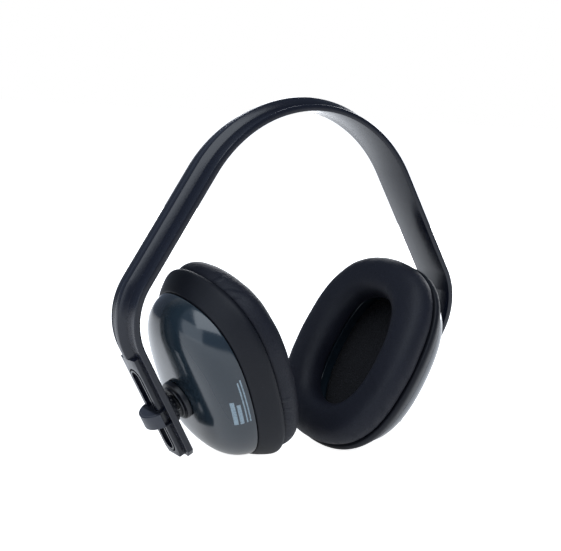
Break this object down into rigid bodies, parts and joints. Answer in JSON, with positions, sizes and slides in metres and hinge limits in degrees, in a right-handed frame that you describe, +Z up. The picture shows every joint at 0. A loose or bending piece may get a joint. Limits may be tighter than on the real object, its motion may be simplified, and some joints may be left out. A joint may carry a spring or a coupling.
{
  "type": "hearing protection earmuffs",
  "caption": "Passive hearing protection earmuffs: a springy moulded headband with oval padded ear cups that slide in slotted ends and turn on ball joints",
  "frame": {"origin": "middle of the whole in plan, at its lowest point", "axes": "+X from the left cup to the right cup across the head, -Y to the front, +Z up to the crown of the headband"},
  "size_m": [0.1978, 0.0866, 0.1762],
  "materials": {
    "headband": "satin navy black moulded plastic",
    "knob": "satin dark grey moulded plastic",
    "pivot": "satin black moulded plastic",
    "shell": "gloss dark blue-grey moulded plastic",
    "rim": "fine matte black moulded plastic",
    "cushion": "satin black soft vinyl skin",
    "foam": "open black foam"
  },
  "bodies": {
    "headband_left_half": {"headband_left": "headband"},
    "headband_right_half": {"headband_right": "headband"},
    "slider_left": {"slider_knob_left": "knob", "friction_washer_left": "pivot", "ball_pin_left": "pivot"},
    "collar_left": {"fluted_collar_left": "pivot"},
    "bearing_left": {"ball_bearing_left": "pivot"},
    "cup_left": {"pivot_socket_left": "pivot", "socket_retainer_left": "pivot", "cup_shell_left": "shell", "cup_rim_left": "rim", "foam_liner_left": "foam", "cushion_plate_left": "rim", "cushion_foam_left": "foam", "cushion_cover_left": "cushion"},
    "slider_right": {"slider_knob_right": "knob", "friction_washer_right": "pivot", "ball_pin_right": "pivot"},
    "collar_right": {"fluted_collar_right": "pivot"},
    "bearing_right": {"ball_bearing_right": "pivot"},
    "cup_right": {"pivot_socket_right": "pivot", "socket_retainer_right": "pivot", "cup_shell_right": "shell", "cup_rim_right": "rim", "foam_liner_right": "foam", "cushion_plate_right": "rim", "cushion_foam_right": "foam", "cushion_cover_right": "cushion"}
  },
  "joints": [
    {"name": "headband_spread", "type": "hinge", "parent": "headband_left_half", "child": "headband_right_half", "pos_m": [0, 0.00218, 0.17619], "axis": [0, -1, 0], "range_deg": [0, 50], "stiffness_Nm_per_rad": 1.5},
    {"name": "slide_right", "type": "slide", "parent": "headband_right_half", "child": "slider_right", "axis": [0.4817, 0, 0.8763], "range_m": [-0.009, 0.005]},
    {"name": "swivel_right", "type": "hinge", "parent": "slider_right", "child": "collar_right", "pos_m": [0.06459, 0.00218, 0.02919], "axis": [0.8763, 0, -0.4817], "range_deg": [-14, 14]},
    {"name": "tilt_right", "type": "hinge", "parent": "collar_right", "child": "bearing_right", "pos_m": [0.06459, 0.00218, 0.02919], "axis": [0, 1, 0], "range_deg": [-7.5, 5]},
    {"name": "yaw_right", "type": "hinge", "parent": "bearing_right", "child": "cup_right", "pos_m": [0.06459, 0.00218, 0.02919], "axis": [0.4714, -0.0261, 0.8815], "range_deg": [-13, 3.5]},
    {"name": "slide_left", "type": "slide", "parent": "headband_left_half", "child": "slider_left", "axis": [-0.4817, 0, 0.8763], "range_m": [-0.01, 0.004]},
    {"name": "swivel_left", "type": "hinge", "parent": "slider_left", "child": "collar_left", "pos_m": [-0.0657, 0.00218, 0.03121], "axis": [-0.8763, 0, -0.4817], "range_deg": [-9, 20]},
    {"name": "tilt_left", "type": "hinge", "parent": "collar_left", "child": "bearing_left", "pos_m": [-0.0657, 0.00218, 0.03121], "axis": [0, -1, 0], "range_deg": [-7, 5]},
    {"name": "yaw_left", "type": "hinge", "parent": "bearing_left", "child": "cup_left", "pos_m": [-0.0657, 0.00218, 0.03121], "axis": [-0.4355, -0.2705, 0.8586], "range_deg": [-9, 7]}
  ]
}
